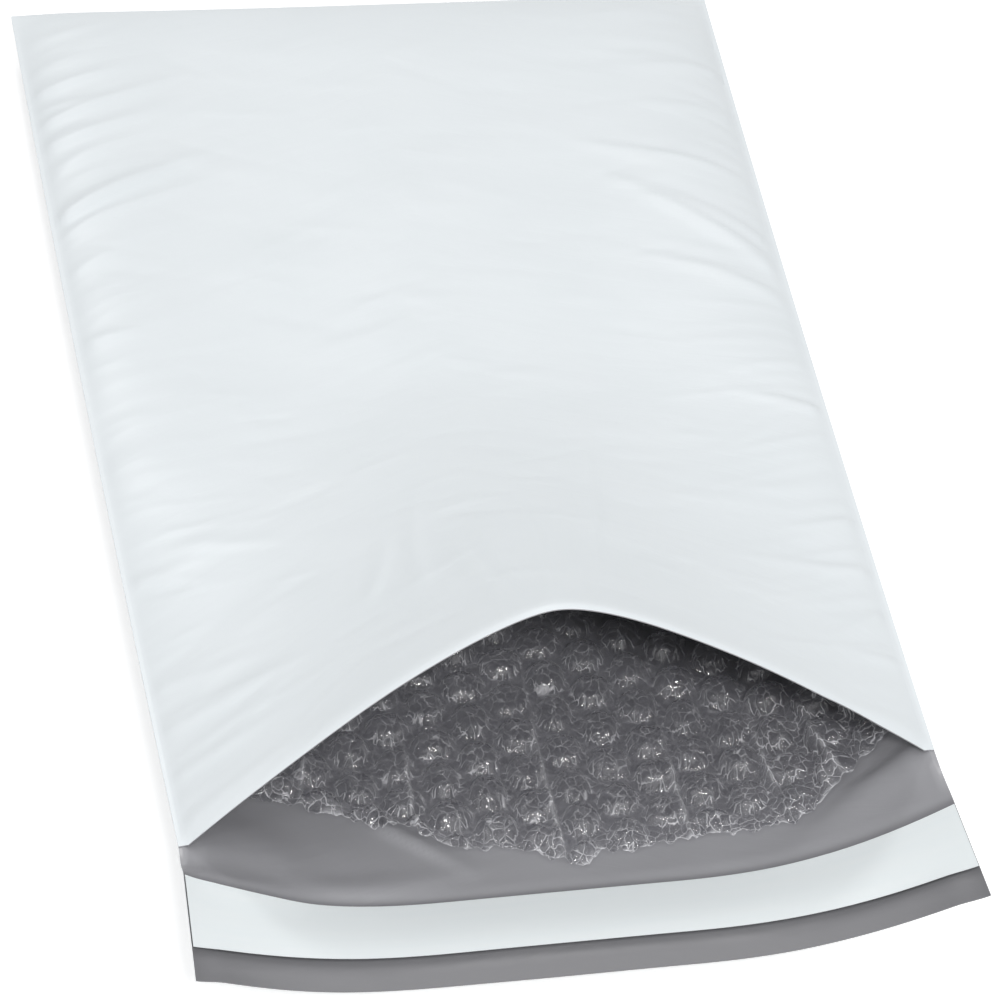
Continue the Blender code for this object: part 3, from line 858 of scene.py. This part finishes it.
def clear_film(name):
    """Clear low-density polyethylene: seen through, glinting on every wrinkle."""
    material, tree, output = new_material(name)
    place = add_node(tree, "ShaderNodeUVMap", {"uv_map": "flat_sheet"}).outputs[0]
    creased = add_node(tree, "ShaderNodeAttribute", {"attribute_name": "creased"}).outputs["Fac"]
    glint_lines = add_node(tree, "ShaderNodeAttribute", {"attribute_name": "glint_lines"}).outputs["Fac"]
    # thin film breaks into facets about 2.4 mm across, with hairline wrinkles on them
    sway = add_node(tree, "ShaderNodeTexNoise", Vector=place, Scale=1 / FACET_SWAY, Detail=2.0)
    pulled = add_node(tree, "ShaderNodeVectorMath", {"operation": "MULTIPLY_ADD"},
                      n0=sway.outputs["Color"], n1=(FACET_SWAY, FACET_SWAY, 0.0), n2=place)
    facets = add_node(tree, "ShaderNodeTexVoronoi", {"feature": "DISTANCE_TO_EDGE"},
                      Vector=pulled.outputs[0], Scale=1 / FACET)
    fine = add_node(tree, "ShaderNodeTexNoise", Vector=place, Scale=1 / HAIRLINE, Detail=2.0,
                    Distortion=1.0)
    relief = add_node(tree, "ShaderNodeMath", {"operation": "MULTIPLY_ADD"},
                      n0=fine.outputs["Fac"], n1=0.6, n2=facets.outputs["Distance"])
    bump = add_node(tree, "ShaderNodeBump", Strength=creased, Distance=FACET_BUMP,
                    Height=relief.outputs[0])
    # the film is milky where it was drawn thin and where the eye looks along it, with painted
    # glints as white lines along the sharp edges of its facets, at the cut and on the pleats
    cloud = add_node(tree, "ShaderNodeTexNoise", Vector=place, Scale=1 / HAZE, Detail=3.0)
    haze = add_node(tree, "ShaderNodeMapRange", Value=cloud.outputs["Fac"],
                    n1=0.4, n2=0.75, n3=0.01, n4=0.09)
    facing = add_node(tree, "ShaderNodeLayerWeight", Blend=0.5)
    along = add_node(tree, "ShaderNodeMath", {"operation": "POWER"},
                     n0=facing.outputs["Facing"], n1=3.0)
    milky = add_node(tree, "ShaderNodeMath", {"operation": "MULTIPLY_ADD"},
                     n0=along.outputs[0], n1=0.6, n2=haze.outputs[0])
    # painted glints: white lines along the sharp edges of the facets, where the film is creased
    edge = add_node(tree, "ShaderNodeMapRange", Value=facets.outputs["Distance"],
                    n1=0.0, n2=0.045, n3=0.75, n4=0.0)
    haze_and_facet_glints = add_node(tree, "ShaderNodeMath", {"operation": "MULTIPLY_ADD"},
                     n0=edge.outputs[0], n1=creased, n2=milky.outputs[0])
    # painted glints: the lines along the cut and the pleat crests are added to the milky share
    haze_and_glints = add_node(tree, "ShaderNodeMath", {"operation": "MULTIPLY_ADD", "use_clamp": True},
                     n0=glint_lines, n1=0.85, n2=haze_and_facet_glints.outputs[0])
    # one surface stands for the several of the real web, so its index is above the 1.5
    # of polyethylene, and it mirrors no more than half
    through = add_node(tree, "ShaderNodeBsdfTransparent", Color=linear("#d4d4d7"))
    gloss = add_node(tree, "ShaderNodeBsdfAnisotropic", Roughness=0.07, Normal=bump.outputs[0])
    body = add_node(tree, "ShaderNodeBsdfDiffuse", Color=linear("#ececf0"), Normal=bump.outputs[0])
    fresnel = add_node(tree, "ShaderNodeFresnel", IOR=1.9, Normal=bump.outputs[0])
    mirrored = add_node(tree, "ShaderNodeMath", {"operation": "MINIMUM"},
                        n0=fresnel.outputs[0], n1=0.5)
    shiny = add_node(tree, "ShaderNodeMixShader", n0=mirrored.outputs[0],
                     n1=through.outputs[0], n2=gloss.outputs[0])
    cloudy = add_node(tree, "ShaderNodeMixShader", n0=haze_and_glints.outputs[0],
                      n1=shiny.outputs[0], n2=body.outputs[0])
    # clear film throws next to no shadow
    path = add_node(tree, "ShaderNodeLightPath")
    unshaded = add_node(tree, "ShaderNodeBsdfTransparent", Color=linear("#e7e7e8"))
    whole = add_node(tree, "ShaderNodeMixShader", n0=path.outputs["Is Shadow Ray"],
                     n1=cloudy.outputs[0], n2=unshaded.outputs[0])
    tree.links.new(whole.outputs[0], output.inputs[0])
    return material


bubble_film = web.make("bubble_film", [clear_film("clear_bubble_film")], sharp=180.0)
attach(bubble_film, "root")
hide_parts("bubble_lining")

# Flap closure
# A band of hot-melt pressure-sensitive glue on the flap, under a siliconed film liner
# that peels off. The liner runs from edge to edge and stands a little off the flap.

GLUE_WIDTH = 14 * MM
GLUE_LIFT = 0.15 * MM
GLUE_THICK = 0.15 * MM
LINER_LIFT = 0.55 * MM
LINER_THICK = 0.12 * MM
GLUE_INSET, LINER_INSET = 3 * MM, 0.3 * MM
COAT_SIZE = 3 * MM
SLITTING_LENGTH, SLITTING_WIDTH = 30 * MM, 2.5 * MM


def band(name, near, width, inset, lift, thick, material):
    """A closed thin strip that follows the flap."""
    reach = 1 - inset / HALF
    across_columns = np.linspace(-reach, reach, 121)
    rows = np.linspace(-(near + width), -near, 9)
    strip = Sheet()
    bottom = strip.grid(back_panel, across_columns, rows, FILM + lift)
    top = strip.grid(back_panel, across_columns, rows, FILM + lift + thick)
    strip.skin(bottom, flip=True)
    strip.skin(top)
    strip.skin(np.stack([bottom[0], top[0]]))
    strip.skin(np.stack([top[-1], bottom[-1]]))
    strip.skin(np.stack([bottom[:, 0], top[:, 0]]), flip=True)
    strip.skin(np.stack([bottom[:, -1], top[:, -1]]))
    piece = strip.make(name, [material])
    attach(piece, "root")
    return piece


def hot_melt_glue():
    """Pressure-sensitive hot melt: wet-looking, cream, with a slightly uneven coat."""
    material, tree, output = new_material("hot_melt_glue")
    place = add_node(tree, "ShaderNodeUVMap", {"uv_map": "flat_sheet"}).outputs[0]
    coat = add_node(tree, "ShaderNodeTexNoise", Vector=place, Scale=1 / COAT_SIZE, Detail=2.0)
    tone = add_node(tree, "ShaderNodeMix", {"data_type": "RGBA"}, Factor=coat.outputs["Fac"])
    tone.inputs["A"].default_value = linear("#ddd8bf")
    tone.inputs["B"].default_value = linear("#e6e2ce")
    bump = add_node(tree, "ShaderNodeBump", Strength=0.3, Distance=0.1 * MM,
                    Height=coat.outputs["Fac"])
    shader = add_node(tree, "ShaderNodeBsdfPrincipled", Base_Color=tone.outputs["Result"],
                      Roughness=0.22, Normal=bump.outputs[0])
    tree.links.new(shader.outputs[0], output.inputs[0])
    return material


def siliconed_liner():
    """Siliconed polyethylene liner: pale, even, with the faint lines of its slitting."""
    material, tree, output = new_material("siliconed_release_film")
    place = add_node(tree, "ShaderNodeUVMap", {"uv_map": "flat_sheet"}).outputs[0]
    stretched = add_node(tree, "ShaderNodeMapping", Vector=place,
                         Scale=(1 / SLITTING_LENGTH, 1 / SLITTING_WIDTH, 1.0))
    drawn = add_node(tree, "ShaderNodeTexNoise", Vector=stretched.outputs[0], Scale=1.0, Detail=3.0)
    tone = add_node(tree, "ShaderNodeMix", {"data_type": "RGBA"}, Factor=drawn.outputs["Fac"])
    tone.inputs["A"].default_value = linear("#f2f9fb")
    tone.inputs["B"].default_value = linear("#f7fcfd")
    bump = add_node(tree, "ShaderNodeBump", Strength=0.2, Distance=0.06 * MM,
                    Height=drawn.outputs["Fac"])
    shader = add_node(tree, "ShaderNodeBsdfPrincipled", Base_Color=tone.outputs["Result"],
                      Roughness=0.45, Normal=bump.outputs[0])
    tree.links.new(shader.outputs[0], output.inputs[0])
    return material


glue_near = STRIP_AT + (LINER_WIDTH - GLUE_WIDTH) / 2
glue_band = band("glue_band", glue_near, GLUE_WIDTH, GLUE_INSET, GLUE_LIFT, GLUE_THICK,
                 hot_melt_glue())
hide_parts("adhesive_strip")
peel_strip = band("peel_strip", STRIP_AT, LINER_WIDTH, LINER_INSET, LINER_LIFT, LINER_THICK,
                  siliconed_liner())
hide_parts("release_liner")

# Studio
# A wide white floor under the envelope, soft lamps overhead and in front, eight small
# lamps that make the bubble film glint, and an even surround.

FLOOR_SIZE, FLOOR_DROP = 30.0, 0.2 * MM
GLINT_DISTANCE, GLINT_SIZE = 1.4, 0.18


def shown_white(tree, plain, bright):
    """A level that is bright where the camera, a reflection or clear film sees it."""
    path = add_node(tree, "ShaderNodeLightPath")
    seen = add_node(tree, "ShaderNodeMath", {"operation": "ADD"}, n0=path.outputs["Is Camera Ray"],
                    n1=path.outputs["Is Glossy Ray"])
    seen = add_node(tree, "ShaderNodeMath", {"operation": "ADD"}, n0=seen.outputs[0],
                    n1=path.outputs["Is Transmission Ray"])
    return add_node(tree, "ShaderNodeMapRange", Value=seen.outputs[0], n3=plain, n4=bright).outputs[0]


def plain_stage(name, size, height, colour, glow):
    """A large floor that is white to the camera and still takes the shadow."""
    bpy.ops.object.select_all(action="DESELECT")
    bpy.ops.mesh.primitive_plane_add(size=size, location=(0, 0, height))
    floor = bpy.context.object
    floor.name = name
    floor.data.transform(floor.matrix_world)
    floor.matrix_world = Matrix.Identity(4)
    material, tree, output = new_material("white_paper_sweep")
    matt = add_node(tree, "ShaderNodeBsdfDiffuse", Color=linear(colour))
    light = add_node(tree, "ShaderNodeEmission", Strength=shown_white(tree, 0.0, glow))
    total = add_node(tree, "ShaderNodeAddShader", n0=matt.outputs[0], n1=light.outputs[0])
    tree.links.new(total.outputs[0], output.inputs[0])
    floor.data.materials.append(material)


plain_stage("studio_floor", FLOOR_SIZE, -FLOOR_DROP, "#dcdcdc", 0.55)


def lamp_panel(name, direction, distance, size, level):
    """A square lamp aimed at the envelope; level is its share of the light there."""
    lamp = bpy.data.lights.new(name, "AREA")
    lamp.shape = "SQUARE"
    lamp.size = size
    lamp.energy = level * (math.pi * distance) ** 2
    holder = bpy.data.objects.new(name, lamp)
    towards = Vector(direction).normalized()
    holder.location = towards * distance
    holder.rotation_euler = towards.to_track_quat("Z", "Y").to_euler()
    bpy.context.scene.collection.objects.link(holder)


lamp_panel("top_softbox", (-0.1, 0.9, 1.0), 1.3, 0.25, 0.13)
lamp_panel("front_softbox", (0.0, -0.9, 0.9), 1.5, 0.22, 0.36)
# direction and level of each small lamp
glint_lamps = (((0.1, 0.3, 1.0), 0.04), ((0.6, -0.2, 1.0), 0.03), ((-0.5, -0.3, 1.0), 0.03),
               ((0.0, -0.5, 1.0), 0.04), ((0.35, -1.0, 0.8), 0.02), ((-0.4, -1.1, 0.9), 0.02),
               ((0.25, -0.15, 1.0), 0.02), ((-0.2, 0.0, 1.0), 0.02))
for number, (direction, level) in enumerate(glint_lamps, 1):
    lamp_panel(f"glint_lamp_{number}", direction, GLINT_DISTANCE, GLINT_SIZE, level)

world = bpy.data.worlds.new("studio_surround")
bpy.context.scene.world = world
world.use_nodes = True
world.node_tree.nodes.clear()
surround = add_node(world.node_tree, "ShaderNodeBackground", Color=(1.0, 1.0, 1.0, 1.0),
                    Strength=shown_white(world.node_tree, 0.47, 1.0))
add_node(world.node_tree, "ShaderNodeOutputWorld", n0=surround.outputs[0])

# Camera
# A long lens on the mouth's side and a little to the left, looking down on the envelope.
# Its place, turn and framing are the ones that were fitted to the photograph.

AZIMUTH, ELEVATION, ROLL = (math.radians(a) for a in (-10.886, 42.93, 2.802))
DISTANCE = 1028.867 * MM
SENSOR = 36.0
LENS_TO_SENSOR = 4.459812
AIM = Vector((0.0, Y_MOUTH + 100 * MM, 0.0))
back = Vector((math.sin(AZIMUTH) * math.cos(ELEVATION), -math.cos(AZIMUTH) * math.cos(ELEVATION),
               math.sin(ELEVATION)))
level_right = Vector((0, 0, 1)).cross(back).normalized()
level_up = back.cross(level_right)
right = level_right * math.cos(ROLL) + level_up * math.sin(ROLL)
up = level_up * math.cos(ROLL) - level_right * math.sin(ROLL)
lens = bpy.data.cameras.new("photo_camera")
lens.sensor_width = SENSOR
lens.lens = SENSOR * LENS_TO_SENSOR
lens.shift_x = 0.016754
lens.shift_y = 0.055553
camera = bpy.data.objects.new("photo_camera", lens)
turn = Matrix((right, up, back)).transposed().to_4x4()
camera.matrix_world = Matrix.Translation(AIM + back * DISTANCE) @ turn
bpy.context.scene.collection.objects.link(camera)
bpy.context.scene.camera = camera
bpy.context.scene.view_settings.view_transform = "Standard"
